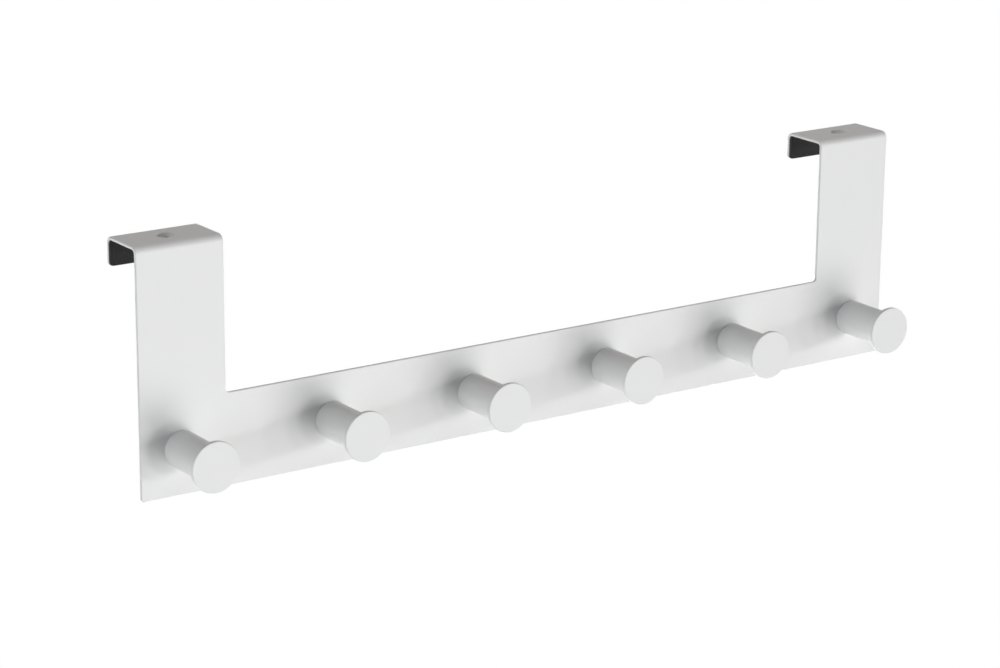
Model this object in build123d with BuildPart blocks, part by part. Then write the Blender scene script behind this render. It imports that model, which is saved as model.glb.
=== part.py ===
from build123d import *
import math
import os

# Over door rack: one folded steel sheet with a clip at each end that hooks over a door's top
# edge, six turned pegs screwed on from behind, foam rubber inside each clip's back lip and a
# foam pad behind each lower corner.
# Frame: +X runs along the rack, the pegs point to -Y and +Z is up. The origin is on the underside
# of the clips' tops, where the door's edge bears, midway between their two screw holes.

# Folded sheet
rack_width = 400.0
rack_height = 108.0         # from the strip's bottom edge to the top of the clips
sheet = 1.5
bend_radius = 1.5           # inside both bends
strip_height = 40.5
upright_width = 40.5
lip_height = 12.5           # from the top of the clip to the lip's bottom edge
outer_corner = 1.5          # bottom corners of the strip
inner_corner = 1.5          # where an upright meets the strip
lip_corner = 1.2            # bottom corners of each lip
edge_round = 0.5            # coated edges of the sheet

# Clips
door_gap = 20.0             # between the sheet's back and the lining
lining_thickness = 1.5
lining_clearance = 0.2      # below the clip's top
screw_hole = 5.5            # through each clip's top
screw_hole_mouth = 8.2
countersink = 90.0          # included angle of every screw hole's mouth

# Pegs
peg_count = 6
peg_end_inset = 19.0        # from the rack's end to the axis of its first peg
peg_height = 20.0           # axis above the strip's bottom edge
peg_length = 29.0           # from the sheet's front to the head's front
shaft_diameter = 16.0
head_diameter = 22.0
head_thickness = 2.0
neck_radius = 1.8           # between the shaft and the back of the head
rim_round = 0.5
foot_round = 0.4            # where the shaft meets the sheet

# Peg screws, countersunk into the back of the sheet
thread_diameter = 3.0
screw_length = 14.0
screw_head = 5.6
plate_hole = 3.4
plate_hole_mouth = 6.0
tapped_clearance = 0.1      # between the thread's outside and the hole in the peg
tapped_depth = 15.0
drill_point = 118.0         # included angle at the bottom of the hole
tip_chamfer = 0.5
cross_length = 3.2          # cross recess in the screw's head
cross_width = 0.8
cross_depth = 1.1
cross_taper = 12.0

# Pads behind the lower corners
pad_width = 24.0
pad_height = 10.0
pad_thickness = 1.5
pad_inset = 4.0             # from the strip's end
pad_rise = 3.0              # from the strip's bottom edge
pad_corner = 2.0

# Places that follow from the sizes
clip_depth = door_gap + lining_thickness + 2 * sheet
front_y = -clip_depth / 2
back_y = front_y + sheet
lip_inner_y = clip_depth / 2 - sheet
top_z = sheet
bottom_z = top_z - rack_height
lip_bottom_z = top_z - lip_height
strip_top_z = bottom_z + strip_height
window_width = rack_width - 2 * upright_width
upright_x = (rack_width - upright_width) / 2
peg_z = bottom_z + peg_height
peg_pitch = (rack_width - 2 * peg_end_inset) / (peg_count - 1)
peg_places = [-rack_width / 2 + peg_end_inset + number * peg_pitch for number in range(peg_count)]
mouth_slope = math.tan(math.radians(countersink / 2))
head_sink = (plate_hole_mouth - screw_head) / 2 / mouth_slope
pad_x = rack_width / 2 - pad_inset - pad_width / 2
pad_z = bottom_z + pad_rise + pad_height / 2
sides = {"left": -1, "right": 1}


def crosses_sheet(edge):
    """Whether an edge runs straight through the sheet, from its front to its back."""
    return edge.geom_type == GeomType.LINE and abs((edge % 0.5).Y) > 0.99 and edge.length < sheet + 0.01


def edges_at_height(part, height):
    """The edges that cross the sheet at one height."""
    crossing = part.edges().filter_by(crosses_sheet)
    return crossing.filter_by_position(Axis.Z, height - 0.01, height + 0.01)


def folded_sheet():
    """The strip, its two uprights and their clips, cut and folded from one sheet."""
    with BuildPart() as plate:
        # The fold's outer line, from the strip's bottom edge over the top to the lip
        with BuildSketch(Plane.YZ):
            with BuildLine():
                FilletPolyline(
                    (front_y, bottom_z),
                    (front_y, top_z),
                    (-front_y, top_z),
                    (-front_y, lip_bottom_z),
                    radius=bend_radius + sheet,
                )
                offset(amount=sheet, side=Side.RIGHT)
            make_face()
        extrude(amount=rack_width / 2, both=True)

        # The window that leaves the strip and the two uprights
        with BuildSketch(Plane.XZ) as window:
            with Locations((0, strip_top_z)):
                Rectangle(window_width, rack_height, align=(Align.CENTER, Align.MIN))
            fillet(window.vertices().group_by(Axis.Y)[0], inner_corner)
        extrude(amount=clip_depth, both=True, mode=Mode.SUBTRACT)

        fillet(edges_at_height(plate, bottom_z), outer_corner)
        fillet(edges_at_height(plate, lip_bottom_z), lip_corner)

        # The coat rounds both rims of every cut edge
        cut_faces = [face for face in plate.faces() if face.edges().filter_by(crosses_sheet)]
        rims = [edge for face in cut_faces for edge in face.edges() if not crosses_sheet(edge)]
        fillet(rims, edge_round)

        with Locations(Plane.XY.offset(top_z)):
            with Locations((-upright_x, 0), (upright_x, 0)):
                CounterSinkHole(screw_hole / 2, screw_hole_mouth / 2, sheet, countersink)

        with Locations(Plane(origin=(0, back_y, peg_z), x_dir=(1, 0, 0), z_dir=(0, 1, 0))):
            with Locations([(x, 0) for x in peg_places]):
                CounterSinkHole(plate_hole / 2, plate_hole_mouth / 2, sheet, countersink)
    return plate


def turned_peg(x):
    """A shaft and its disc head, turned as one piece, with a tapped hole in its foot."""
    foot = Plane(origin=(x, front_y, peg_z), x_dir=(1, 0, 0), z_dir=(0, 0, -1))
    peg_axis = Axis((x, front_y, peg_z), (0, -1, 0))
    shaft = shaft_diameter / 2
    head = head_diameter / 2
    hole = thread_diameter / 2 + tapped_clearance
    hole_tip = tapped_depth + hole / math.tan(math.radians(drill_point / 2))
    with BuildPart() as peg:
        with BuildSketch(foot):
            with BuildLine():
                Polyline(
                    (0, hole_tip),
                    (0, peg_length),
                    (head, peg_length),
                    (head, peg_length - head_thickness),
                    (shaft, peg_length - head_thickness),
                    (shaft, 0),
                    (hole, 0),
                    (hole, tapped_depth),
                    close=True,
                )
            make_face()
        revolve(axis=peg_axis)
        head_circles = peg.edges().filter_by(GeomType.CIRCLE).group_by(Axis.Y)
        fillet(head_circles[1].sort_by(SortBy.RADIUS)[0], neck_radius)
        foot_circles = peg.edges().filter_by(GeomType.CIRCLE).group_by(Axis.Y)[-1]
        fillet(foot_circles.sort_by(SortBy.RADIUS)[-1], foot_round)
        circles = peg.edges().filter_by(GeomType.CIRCLE)
        fillet(circles.filter_by(lambda circle: circle.radius > head - 0.01), rim_round)
    return peg


def peg_screw(x):
    """A countersunk machine screw from behind, flush in the sheet, with a cross recess."""
    seat = Plane(origin=(x, back_y - head_sink, peg_z), x_dir=(1, 0, 0), z_dir=(0, 0, -1))
    screw_axis = Axis((x, back_y, peg_z), (0, -1, 0))
    head = screw_head / 2
    thread = thread_diameter / 2
    with BuildPart() as screw:
        with BuildSketch(seat):
            with BuildLine():
                Polyline(
                    (0, 0),
                    (head, 0),
                    (thread, (head - thread) / mouth_slope),
                    (thread, screw_length - tip_chamfer),
                    (thread - tip_chamfer, screw_length),
                    (0, screw_length),
                    close=True,
                )
            make_face()
        revolve(axis=screw_axis)
        with BuildSketch(Plane(origin=seat.origin, x_dir=(1, 0, 0), z_dir=(0, 1, 0))):
            Rectangle(cross_length, cross_width)
            Rectangle(cross_width, cross_length)
        extrude(amount=-cross_depth, taper=cross_taper, mode=Mode.SUBTRACT)
    return screw


def lip_lining(side):
    """Foam rubber over a lip's whole inner face, cut to the lip's outline and up into its bend."""
    lining_top = -lining_clearance
    lining_height = lining_top - lip_bottom_z
    with BuildPart() as lining:
        # The lining's share of the clip's hollow, seen from the end of the rack
        with BuildSketch(Plane.YZ.offset(side * upright_x)) as section:
            with Locations((0, lining_top)):
                Rectangle(2 * lip_inner_y, lining_height, align=(Align.CENTER, Align.MAX))
            fillet(section.vertices().group_by(Axis.Y)[-1], bend_radius)
            with Locations((lip_inner_y, lining_top)):
                Rectangle(
                    lining_thickness,
                    lining_height,
                    align=(Align.MAX, Align.MAX),
                    mode=Mode.INTERSECT,
                )
        extrude(amount=upright_width / 2, both=True)
        fillet(lining.edges().filter_by(Axis.Y).group_by(Axis.Z)[0], lip_corner)
    return lining


def corner_pad(side):
    """A foam pad stuck behind a lower corner, which keeps the strip off the door."""
    with BuildPart() as pad:
        with BuildSketch(Plane.XZ.offset(-back_y)):
            with Locations((side * pad_x, pad_z)):
                RectangleRounded(pad_width, pad_height, pad_corner)
        extrude(amount=-pad_thickness)
    return pad


def write(piece, name):
    """Labels a finished piece and writes it to its own file."""
    piece.part.label = name
    export_step(piece.part, f"parts/{name}.step")


os.makedirs("parts", exist_ok=True)
write(folded_sheet(), "door_plate")
for number, x in enumerate(peg_places, start=1):
    write(turned_peg(x), f"peg_{number}")
    write(peg_screw(x), f"peg_screw_{number}")
for name, side in sides.items():
    write(lip_lining(side), f"{name}_lip_lining")
    write(corner_pad(side), f"{name}_corner_pad")
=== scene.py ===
import bmesh
import bpy
import math
from mathutils import Matrix, Vector, noise


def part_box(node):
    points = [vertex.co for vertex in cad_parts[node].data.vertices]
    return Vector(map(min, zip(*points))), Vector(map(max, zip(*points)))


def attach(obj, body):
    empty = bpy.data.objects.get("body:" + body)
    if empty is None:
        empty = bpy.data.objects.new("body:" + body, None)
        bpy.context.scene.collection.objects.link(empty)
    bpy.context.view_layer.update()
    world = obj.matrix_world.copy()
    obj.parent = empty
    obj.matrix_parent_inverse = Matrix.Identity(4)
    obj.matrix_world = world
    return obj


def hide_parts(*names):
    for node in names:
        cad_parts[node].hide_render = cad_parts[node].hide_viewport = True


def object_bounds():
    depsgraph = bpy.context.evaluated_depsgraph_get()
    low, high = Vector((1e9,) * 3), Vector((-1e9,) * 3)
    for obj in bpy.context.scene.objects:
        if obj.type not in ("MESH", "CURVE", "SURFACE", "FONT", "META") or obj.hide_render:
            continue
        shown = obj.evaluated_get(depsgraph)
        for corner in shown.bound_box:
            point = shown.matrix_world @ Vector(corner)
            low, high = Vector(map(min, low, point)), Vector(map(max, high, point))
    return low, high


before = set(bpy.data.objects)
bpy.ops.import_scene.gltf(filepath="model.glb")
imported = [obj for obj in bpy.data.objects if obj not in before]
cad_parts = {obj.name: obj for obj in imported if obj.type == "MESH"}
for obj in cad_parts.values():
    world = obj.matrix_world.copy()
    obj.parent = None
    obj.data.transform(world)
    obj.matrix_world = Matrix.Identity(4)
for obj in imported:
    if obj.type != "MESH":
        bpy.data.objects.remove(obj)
cadLow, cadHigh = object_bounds()
scene = bpy.context.scene
mm = 0.001
print("frame loaded,", len(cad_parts), "nodes")


# Shader and geometry trees

class Value:
    # one output of a node; an operator on it adds a Math node to its tree
    def __init__(self, graph, socket):
        self.graph = graph
        self.socket = socket

    def maths(self, operation, first, second):
        return self.graph.add("ShaderNodeMath", {"operation": operation}, {0: first, 1: second})

    def __add__(self, other):
        return self.maths("ADD", self, other)

    def __mul__(self, other):
        return self.maths("MULTIPLY", self, other)

    def __lt__(self, other):
        return self.maths("LESS_THAN", self, other)

    __radd__ = __add__
    __rmul__ = __mul__


class Graph:
    def __init__(self, tree):
        self.tree = tree

    # settings go on the node first, then each socket gets its value or its link
    def add(self, kind, settings=None, values=None, out=0):
        node = self.tree.nodes.new(kind)
        for name, setting in (settings or {}).items():
            if name == "stops":
                self.setStops(node.color_ramp, setting)
            else:
                setattr(node, name, setting)
        for name, value in (values or {}).items():
            if isinstance(value, Value):
                self.tree.links.new(value.socket, node.inputs[name])
            else:
                node.inputs[name].default_value = value
        return Value(self, node.outputs[out]) if node.outputs else None

    def setStops(self, ramp, stops):
        while len(ramp.elements) < len(stops):
            ramp.elements.new(1.0)
        for element, (position, grey) in zip(ramp.elements, stops):
            element.position = position
            element.color = (grey, grey, grey, 1.0)

    # noise with blotches about as wide as size, in metres
    def noise(self, place, size, detail):
        values = {"Vector": place, "Scale": 1 / size, "Detail": detail}
        return self.add("ShaderNodeTexNoise", None, values, "Fac")

    def ramp(self, value, stops):
        return self.add("ShaderNodeValToRGB", {"stops": stops}, {"Fac": value}, "Color")

    def mixColour(self, factor, first, second):
        settings = {"data_type": "RGBA"}
        return self.add("ShaderNodeMix", settings, {0: factor, 6: first, 7: second}, 2)


def newMaterial(name):
    material = bpy.data.materials.new(name)
    material.use_nodes = True
    material.node_tree.nodes.clear()
    return material, Graph(material.node_tree)


def finishMaterial(graph, shader):
    graph.add("ShaderNodeOutputMaterial", None, {"Surface": shader})


# White powder coat on the folded sheet and the pegs

powderCoat = {
    "light": (0.815, 0.816, 0.812, 1.0),
    "dark": (0.790, 0.793, 0.792, 1.0),
    "blotch": (24 * mm, 3.0),           # width of each noise and its detail
    "peel": (1.3 * mm, 1.0),
    "grain": (0.28 * mm, 2.0),
    "nibSpacing": 7 * mm,
    "nibWidth": 0.035,                  # as a share of the spacing
    "roughness": (0.36, 0.50),
    "roughnessShares": (0.6, 0.4),      # of blotch and grain
    "bumpShares": (0.75, 0.25, 0.6),    # of peel, grain and nibs
    "bumpStrength": 0.5,
    "bumpDepth": 0.030 * mm,
    "ior": 1.5,
}


def makePowderCoat(look):
    material, graph = newMaterial("whitePowderCoat")
    place = graph.add("ShaderNodeTexCoord", out="Object")
    blotch = graph.noise(place, *look["blotch"])
    peel = graph.noise(place, *look["peel"])
    grain = graph.noise(place, *look["grain"])
    cells = {"Vector": place, "Scale": 1 / look["nibSpacing"]}
    distance = graph.add("ShaderNodeTexVoronoi", None, cells, "Distance")
    nib = distance < look["nibWidth"]
    low, high = look["roughness"]
    blotchShare, grainShare = look["roughnessShares"]
    roughness = low + (high - low) * (blotchShare * blotch + grainShare * grain)
    peelShare, grainShare, nibShare = look["bumpShares"]
    height = peelShare * peel + grainShare * grain + nibShare * nib
    bump = {"Strength": look["bumpStrength"], "Distance": look["bumpDepth"], "Height": height}
    shader = graph.add("ShaderNodeBsdfPrincipled", None, {
        "Base Color": graph.mixColour(blotch, look["dark"], look["light"]),
        "Roughness": roughness,
        "IOR": look["ior"],
        "Normal": graph.add("ShaderNodeBump", None, bump),
    })
    finishMaterial(graph, shader)
    return material


# Black foam rubber inside the lips and behind the lower corners

foamRubber = {
    "skin": (0.054, 0.054, 0.053, 1.0),
    # the dark end: painted shade in the pore middles, and the darker end of the random specks and
    # patches
    "pitShadeAndDarkTone": (0.018, 0.018, 0.018, 1.0),
    "pore": 0.42 * mm,
    "wallStops": ((0.12, 0.0), (0.55, 1.0)),    # from a pore's middle up to its wall
    "speck": (0.12 * mm, 2.0),          # width of each noise and its detail
    "patch": (5 * mm, 2.0),
    "colourShares": (0.55, 0.25, 0.2),  # of wall, speck and patch
    "roughness": (0.78, 0.96),
    "bumpShares": (0.7, 0.3),           # of wall and speck
    "bumpStrength": 0.6,
    "bumpDepth": 0.10 * mm,
    "specular": 0.3,
}


def makeFoamRubber(look):
    material, graph = newMaterial("blackFoamRubber")
    place = graph.add("ShaderNodeTexCoord", out="Object")
    cells = {"Vector": place, "Scale": 1 / look["pore"]}
    distance = graph.add("ShaderNodeTexVoronoi", None, cells, "Distance")
    wall = graph.ramp(distance, look["wallStops"])
    speck = graph.noise(place, *look["speck"])
    patch = graph.noise(place, *look["patch"])
    wallShare, speckShare, patchShare = look["colourShares"]
    # painted shade: each pore's middle is darkened towards the dark end, while speck and patch vary
    # the tone at random
    body = wallShare * wall + speckShare * speck + patchShare * patch
    low, high = look["roughness"]
    wallShare, speckShare = look["bumpShares"]
    height = wallShare * wall + speckShare * speck
    bump = {"Strength": look["bumpStrength"], "Distance": look["bumpDepth"], "Height": height}
    shader = graph.add("ShaderNodeBsdfPrincipled", None, {
        "Base Color": graph.mixColour(body, look["pitShadeAndDarkTone"], look["skin"]),
        "Roughness": low + (high - low) * speck,
        "Specular IOR Level": look["specular"],
        "Normal": graph.add("ShaderNodeBump", None, bump),
    })
    finishMaterial(graph, shader)
    return material


# Bright zinc on the peg screws

zincPlate = {
    "light": (0.50, 0.51, 0.52, 1.0),
    "dark": (0.30, 0.32, 0.35, 1.0),
    "patch": (2.2 * mm, 4.0),           # width of the noise and its detail
    "ringWidth": 0.11 * mm,
    "ringShare": 0.5,
    "roughness": (0.24, 0.42),
    "bumpStrength": 0.4,
    "bumpDepth": 0.008 * mm,
}


def makeZincPlate(look):
    material, graph = newMaterial("zincPlate")
    place = graph.add("ShaderNodeTexCoord", out="Object")
    radius = graph.add("ShaderNodeAttribute", {"attribute_name": "turnedRadius"}, None, "Fac")
    turned = radius * (math.tau / look["ringWidth"])
    ring = graph.add("ShaderNodeMath", {"operation": "SINE"}, {0: turned})
    patch = graph.noise(place, *look["patch"])
    low, high = look["roughness"]
    height = look["ringShare"] * ring + patch
    bump = {"Strength": look["bumpStrength"], "Distance": look["bumpDepth"], "Height": height}
    shader = graph.add("ShaderNodeBsdfPrincipled", None, {
        "Base Color": graph.mixColour(patch, look["dark"], look["light"]),
        "Metallic": 1.0,
        "Roughness": low + (high - low) * patch,
        "Normal": graph.add("ShaderNodeBump", None, bump),
    })
    finishMaterial(graph, shader)
    return material


whitePowderCoat = makePowderCoat(powderCoat)
blackFoamRubber = makeFoamRubber(foamRubber)
zincPlateFinish = makeZincPlate(zincPlate)

pegCount = 6
coatedNodes = ["door_plate"] + ["peg_" + str(number) for number in range(1, pegCount + 1)]
for name in coatedNodes:
    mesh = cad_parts[name].data
    mesh.materials.clear()
    mesh.materials.append(whitePowderCoat)
print("powder coat on", len(coatedNodes), "pieces")


# Mesh helpers

def addPiece(name, mesh):
    piece = bpy.data.objects.new(name, mesh)
    scene.collection.objects.link(piece)
    return piece


# the mesh of a piece with its modifiers applied, which are then taken off it
def settle(piece):
    bpy.context.view_layer.update()
    evaluated = piece.evaluated_get(bpy.context.evaluated_depsgraph_get())
    mesh = bpy.data.meshes.new_from_object(evaluated)
    piece.modifiers.clear()
    piece.data = mesh
    return mesh


# Foam pieces, each cut from soft sheet and glued to the steel by its back

lipLining = {
    "nodes": ("left_lip_lining", "right_lip_lining"),
    "back": 1,              # glued to the lip at its +Y side
    "crown": 0.10 * mm,
}

cornerPad = {
    "nodes": ("left_corner_pad", "right_corner_pad"),
    "back": -1,             # glued to the strip at its -Y side
    "crown": 0.16 * mm,
}

foamMesh = {
    "mergeWithin": 0.001 * mm,
    "voxel": 0.25,          # in millimetres
    "rounding": 4,
    "roundingFactor": 0.5,
    "cell": 0.85 * mm,
    "cellReach": 0.5,       # as a share of the cell
    "cellDepth": 0.09 * mm,
    "wave": 7 * mm,
    "waveDepth": 0.05 * mm,
    "glueLine": 0.35 * mm,  # nothing moves nearer to the glue than this
    "edgeFall": 2.5 * mm,
}


def smoothStep(low, high, value):
    share = min(max((value - low) / (high - low), 0.0), 1.0)
    return share * share * (3 - 2 * share)


# a soft even grid over a copy of the plain solid, worked in millimetres
def foamBlank(name, node, build):
    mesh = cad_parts[node].data.copy()
    blank = bmesh.new()
    blank.from_mesh(mesh)
    bmesh.ops.remove_doubles(blank, verts=blank.verts, dist=build["mergeWithin"])
    blank.to_mesh(mesh)
    blank.free()
    mesh.transform(Matrix.Scale(1 / mm, 4))
    mesh.materials.clear()
    piece = addPiece(name, mesh)
    remesh = piece.modifiers.new("grid", "REMESH")
    remesh.mode = "VOXEL"
    remesh.voxel_size = build["voxel"]
    smooth = piece.modifiers.new("round", "SMOOTH")
    smooth.factor = build["roundingFactor"]
    smooth.iterations = build["rounding"]
    settle(piece)
    piece.data.transform(Matrix.Scale(mm, 4))
    return piece


def makeFoamPiece(name, node, form, build):
    piece = foamBlank(name, node, build)
    low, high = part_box(node)
    glue = high.y if form["back"] > 0 else low.y
    thickness = high.y - low.y
    for vertex in piece.data.vertices:
        spot = vertex.co.copy()
        free = abs(glue - spot.y)
        loose = smoothStep(0.0, build["glueLine"], free)
        edge = min(spot.x - low.x, high.x - spot.x, spot.z - low.z, high.z - spot.z)
        inward = smoothStep(0.0, build["edgeFall"], edge)
        pore = noise.voronoi(spot / build["cell"])[0][0]
        wave = noise.noise(spot / build["wave"])
        reach = build["cellReach"]
        dent = build["cellDepth"] * max(0.0, reach - pore) / reach
        swell = form["crown"] * (inward - 1) + build["waveDepth"] * (wave - 1) * inward
        give = loose * (free / thickness)
        vertex.co.y += form["back"] * give * (dent - swell)
        vertex.co += give * (1 - inward) * dent * middlePull(spot, low, high)
    piece.data.materials.append(blackFoamRubber)
    for polygon in piece.data.polygons:
        polygon.use_smooth = True
    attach(piece, "root")
    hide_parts(node)
    return piece


# towards the middle of the piece in its own plane
def middlePull(spot, low, high):
    middle = (low + high) / 2
    pull = Vector((middle.x - spot.x, 0.0, middle.z - spot.z))
    return pull.normalized()


for form in (lipLining, cornerPad):
    for node in form["nodes"]:
        piece = makeFoamPiece(node + "_foam", node, form, foamMesh)
        print("foam piece", piece.name, len(piece.data.polygons), "faces")


# Countersunk peg screws behind the strip

pegScrew = {
    "node": "peg_screw_",
    "count": pegCount,
    "headRadius": 2.74 * mm,
    "headFlat": 2.64 * mm,
    "rimRound": 0.07 * mm,
    "headDepth": 1.30 * mm,
    "threadRadius": 1.5 * mm,
    "coreRadius": 1.2 * mm,
    "threadStart": 1.7 * mm,
    "pitch": 0.5 * mm,
    "length": 14.0 * mm,
    "pointLength": 0.6 * mm,
    "pointShare": 0.62,     # of the core's radius, at the very tip
    "around": 40,
    "headSteps": 4,         # along the rim's round, and again along the cone
    "stepsPerTurn": 6,
    "recessLength": 3.2 * mm,
    "recessWidth": 0.8 * mm,
    "recessDepth": 1.1 * mm,
    "recessTaper": math.radians(12),
    "recessEndSlope": 1.6,  # how much more than the taper each bar's ends lean in
    "recessSideSlope": 0.9,
    "punchLift": 0.2 * mm,
    "sharpAngle": math.radians(32),
    "seed": 11,
}


# radius of the turned blank at one depth below the head's face
def screwRadius(build, depth, angle):
    if depth < build["rimRound"]:
        share = math.sin(depth / build["rimRound"] * math.pi / 2)
        return build["headFlat"] + (build["headRadius"] - build["headFlat"]) * share
    if depth < build["headDepth"]:
        share = (depth - build["rimRound"]) / (build["headDepth"] - build["rimRound"])
        return build["headRadius"] + (build["threadRadius"] - build["headRadius"]) * share
    if depth < build["threadStart"]:
        return build["threadRadius"]
    turn = (depth - build["threadStart"]) / build["pitch"] - angle / math.tau
    ridge = abs(2 * (turn % 1.0) - 1)
    full = build["coreRadius"] + (build["threadRadius"] - build["coreRadius"]) * ridge
    tip = (build["length"] - depth) / build["pointLength"]
    if tip >= 1:
        return full
    point = build["pointShare"]
    return min(full, build["coreRadius"] * (point + (1 - point) * tip))


def screwDepths(build):
    rim, steps = build["rimRound"], build["headSteps"]
    cone = build["headDepth"] - rim
    depths = [rim * step / steps for step in range(steps + 1)]
    depths += [rim + cone * step / steps for step in range(1, steps + 1)]
    step = build["pitch"] / build["stepsPerTurn"]
    depth = build["threadStart"]
    while depth < build["length"] - step / 2:
        depths.append(depth)
        depth += step
    return depths + [build["length"]]


# one screw, its head's face at the origin and its point towards -Y
def screwBlank(build):
    blank = bmesh.new()
    rings = []
    for depth in screwDepths(build):
        ring = []
        for number in range(build["around"]):
            angle = math.tau * number / build["around"]
            radius = screwRadius(build, depth, angle)
            place = (radius * math.cos(angle), -depth, radius * math.sin(angle))
            ring.append(blank.verts.new(place))
        rings.append(ring)
    for upper, lower in zip(rings, rings[1:]):
        for number in range(build["around"]):
            after = (number + 1) % build["around"]
            blank.faces.new((upper[number], upper[after], lower[after], lower[number]))
    blank.faces.new(rings[0])
    blank.faces.new(rings[-1])
    bmesh.ops.recalc_face_normals(blank, faces=blank.faces)
    mesh = bpy.data.meshes.new("screwBlank")
    blank.to_mesh(mesh)
    blank.free()
    return addPiece("screwBlank", mesh)


# the punch of the cross recess: two tapered bars down to a blunt point
def recessPunch(build):
    punch = bmesh.new()
    depth = build["recessDepth"]
    shrink = depth * math.tan(build["recessTaper"])
    length, width = build["recessLength"], build["recessWidth"]
    end, side = build["recessEndSlope"], build["recessSideSlope"]
    boxFaces = (
        (0, 1, 2, 3), (4, 5, 6, 7),
        (0, 1, 5, 4), (1, 2, 6, 5), (2, 3, 7, 6), (3, 0, 4, 7),
    )
    for sizeX, sizeZ, slopeX, slopeZ in ((length, width, end, side), (width, length, side, end)):
        corners = []
        for y, less in ((build["punchLift"], 0.0), (-depth, shrink)):
            halfX = sizeX / 2 - less * slopeX
            halfZ = sizeZ / 2 - less * slopeZ
            for x, z in ((-halfX, -halfZ), (halfX, -halfZ), (halfX, halfZ), (-halfX, halfZ)):
                corners.append(punch.verts.new((x, y, z)))
        for face in boxFaces:
            punch.faces.new([corners[number] for number in face])
    bmesh.ops.recalc_face_normals(punch, faces=punch.faces)
    mesh = bpy.data.meshes.new("recessPunch")
    punch.to_mesh(mesh)
    punch.free()
    return addPiece("recessPunch", mesh)


def makeScrew(build):
    screw = screwBlank(build)
    punch = recessPunch(build)
    cut = screw.modifiers.new("recess", "BOOLEAN")
    cut.operation = "DIFFERENCE"
    cut.solver = "EXACT"
    cut.use_self = True
    cut.object = punch
    mesh = settle(screw)
    radii = mesh.attributes.new("turnedRadius", "FLOAT", "POINT")
    for vertex, item in zip(mesh.vertices, radii.data):
        item.value = math.hypot(vertex.co.x, vertex.co.z)
    bpy.data.objects.remove(punch)
    return screw


# a row of one screw, each driven home at its own angle
def screwRowTree():
    tree = bpy.data.node_groups.new("screwRow", "GeometryNodeTree")
    sockets = {}
    for name, kind in (
        ("Screw", "NodeSocketObject"),
        ("Count", "NodeSocketInt"),
        ("Start", "NodeSocketVector"),
        ("Step", "NodeSocketVector"),
        ("Turn Seed", "NodeSocketInt"),
        ("Finish", "NodeSocketMaterial"),
    ):
        sockets[name] = tree.interface.new_socket(name, in_out="INPUT", socket_type=kind).identifier
    tree.interface.new_socket("Geometry", in_out="OUTPUT", socket_type="NodeSocketGeometry")
    graph = Graph(tree)
    group = tree.nodes.new("NodeGroupInput")

    def given(name):
        return Value(graph, group.outputs[name])

    line = {"Count": given("Count"), "Start Location": given("Start"), "Offset": given("Step")}
    points = graph.add("GeometryNodeMeshLine", {"mode": "OFFSET"}, line)
    screw = graph.add("GeometryNodeObjectInfo", None, {"Object": given("Screw")}, "Geometry")
    turns = {2: 0.0, 3: math.tau, "Seed": given("Turn Seed")}
    turn = graph.add("FunctionNodeRandomValue", None, turns, 1)
    angles = graph.add("ShaderNodeCombineXYZ", None, {"Y": turn})
    copies = {"Points": points, "Instance": screw, "Rotation": angles}
    placed = graph.add("GeometryNodeInstanceOnPoints", None, copies)
    solid = graph.add("GeometryNodeRealizeInstances", None, {"Geometry": placed})
    finish = {"Geometry": solid, "Material": given("Finish")}
    plated = graph.add("GeometryNodeSetMaterial", None, finish)
    graph.add("NodeGroupOutput", None, {"Geometry": plated})
    return tree, sockets


def screwSeat(build, number):
    low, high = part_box(build["node"] + str(number))
    return Vector(((low.x + high.x) / 2, high.y, (low.z + high.z) / 2))


def makeScrewRow(build):
    screw = makeScrew(build)
    row = addPiece("peg_screws", bpy.data.meshes.new("peg_screws"))
    tree, sockets = screwRowTree()
    start = screwSeat(build, 1)
    modifier = row.modifiers.new("row", "NODES")
    modifier.node_group = tree
    modifier[sockets["Screw"]] = screw
    modifier[sockets["Count"]] = build["count"]
    modifier[sockets["Start"]] = start
    modifier[sockets["Step"]] = screwSeat(build, 2) - start
    modifier[sockets["Turn Seed"]] = build["seed"]
    modifier[sockets["Finish"]] = zincPlateFinish
    mesh = settle(row)
    mesh.name = "peg_screws"
    bpy.data.objects.remove(screw)
    mesh.set_sharp_from_angle(angle=build["sharpAngle"])
    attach(row, "root")
    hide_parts(*[build["node"] + str(number) for number in range(1, build["count"] + 1)])
    return row


screwRow = makeScrewRow(pegScrew)
print("peg screws", len(screwRow.data.polygons), "faces")


# Floor, world, lamps and camera

studio = {
    "floorDrop": 0.65,
    "floorSize": 14.0,
    "floorGrey": 0.80,
    "ambient": 0.06,
}

# far lamps, each at a bearing from the front and a height above the level, in degrees;
# their strengths were first fitted to the photo's tones and then changed
lamps = {
    "lowKey": {"bearing": 23, "height": -22, "spread": 40, "strength": 1.15},
    "stripFront": {"bearing": 10, "height": -2, "spread": 6, "strength": 0.40},
    "stripMiddle": {"bearing": 22, "height": 2, "spread": 6, "strength": 0.26},
    "stripEnd": {"bearing": 38, "height": 2, "spread": 6, "strength": 0.20},
    "grazing": {"bearing": 70, "height": 8, "spread": 6, "strength": 0.74},
    "side": {"bearing": -70, "height": 0, "spread": 40, "strength": 0.89,
             "colour": (0.91, 0.965, 1.0)},
    "left": {"bearing": -100, "height": 22, "spread": 40, "strength": 0.365,
             "colour": (1.0, 0.95, 0.91)},
    "lowLeft": {"bearing": -100, "height": -45, "spread": 40, "strength": 0.30},
    "backTop": {"bearing": 140, "height": 50, "spread": 40, "strength": 0.35,
                "colour": (1.0, 0.90, 0.86)},
    "back": {"bearing": 175, "height": -40, "spread": 100, "strength": 1.9},
}

photoCamera = {
    "place": (-0.74868, -1.05580, 0.30878),
    "azimuth": -0.60839,
    "elevation": 0.28422,
    "roll": 0.00860,
    "lens": 108.87,
    "sensor": 36.0,
}


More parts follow.
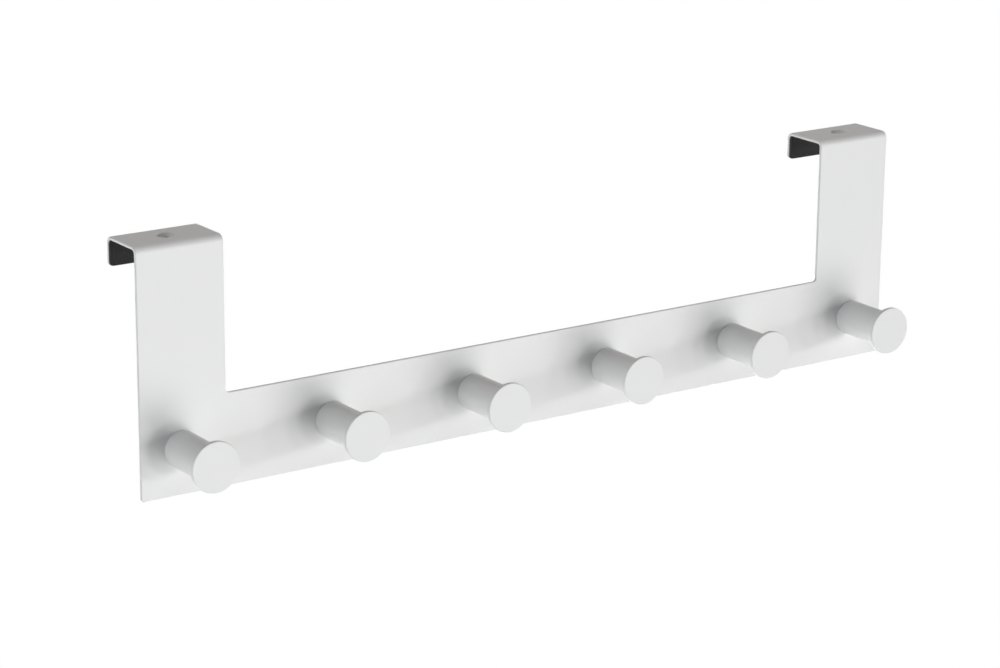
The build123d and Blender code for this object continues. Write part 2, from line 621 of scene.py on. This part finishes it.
# seen straight or in a reflection the surround is white, to anything else it is the lit part
def whiteToCamera(graph, lit):
    rays = ("Is Camera Ray", "Is Glossy Ray", "Is Transmission Ray")
    camera, glossy, through = [graph.add("ShaderNodeLightPath", out=name) for name in rays]
    seen = camera + glossy + through
    white = graph.add("ShaderNodeEmission", None, {"Strength": 1.0})
    return graph.add("ShaderNodeMixShader", None, {0: seen, 1: lit, 2: white})


def makeFloor(setup):
    material, graph = newMaterial("paleFloor")
    grey = setup["floorGrey"]
    lit = graph.add("ShaderNodeBsdfDiffuse", None, {"Color": (grey, grey, grey, 1.0)})
    finishMaterial(graph, whiteToCamera(graph, lit))
    half = setup["floorSize"] / 2
    height = cadLow.z - setup["floorDrop"]
    outline = ((-half, -half), (half, -half), (half, half), (-half, half))
    mesh = bpy.data.meshes.new("floor")
    mesh.from_pydata([(x, y, height) for x, y in outline], [], [(0, 1, 2, 3)])
    mesh.materials.append(material)
    floor = addPiece("floor", mesh)
    floor.visible_shadow = False        # the low lamps shine up through it


def makeWorld(setup):
    world = bpy.data.worlds.new("studio")
    world.use_nodes = True
    world.node_tree.nodes.clear()
    graph = Graph(world.node_tree)
    grey = setup["ambient"]
    lit = graph.add("ShaderNodeBackground", None, {"Color": (grey, grey, grey, 1.0)})
    graph.add("ShaderNodeOutputWorld", None, {"Surface": whiteToCamera(graph, lit)})
    scene.world = world


def makeLamps(lamps):
    for name, lamp in lamps.items():
        data = bpy.data.lights.new(name, "SUN")
        data.angle = math.radians(lamp["spread"])
        data.energy = lamp["strength"]
        data.color = lamp.get("colour", (1.0, 1.0, 1.0))
        # with it the floor holds part of the light back
        data.cycles.use_multiple_importance_sampling = False
        light = bpy.data.objects.new(name, data)
        bearing, height = math.radians(lamp["bearing"]), math.radians(lamp["height"])
        level = math.cos(height)
        towards = Vector((math.sin(bearing) * level, -math.cos(bearing) * level, math.sin(height)))
        light.location = towards
        light.rotation_euler = towards.to_track_quat("Z", "Y").to_euler()
        scene.collection.objects.link(light)


def makeCamera(setup):
    data = bpy.data.cameras.new("photoCamera")
    data.sensor_width = setup["sensor"]
    data.lens = setup["lens"]
    camera = bpy.data.objects.new("photoCamera", data)
    azimuth = Matrix.Rotation(setup["azimuth"], 4, "Z")
    tilt = Matrix.Rotation(math.pi / 2 - setup["elevation"], 4, "X")
    roll = Matrix.Rotation(setup["roll"], 4, "Z")
    camera.matrix_world = Matrix.Translation(setup["place"]) @ azimuth @ tilt @ roll
    scene.collection.objects.link(camera)
    scene.camera = camera


makeFloor(studio)
makeWorld(studio)
makeLamps(lamps)
makeCamera(photoCamera)
scene.view_settings.view_transform = "Standard"
print("studio set")
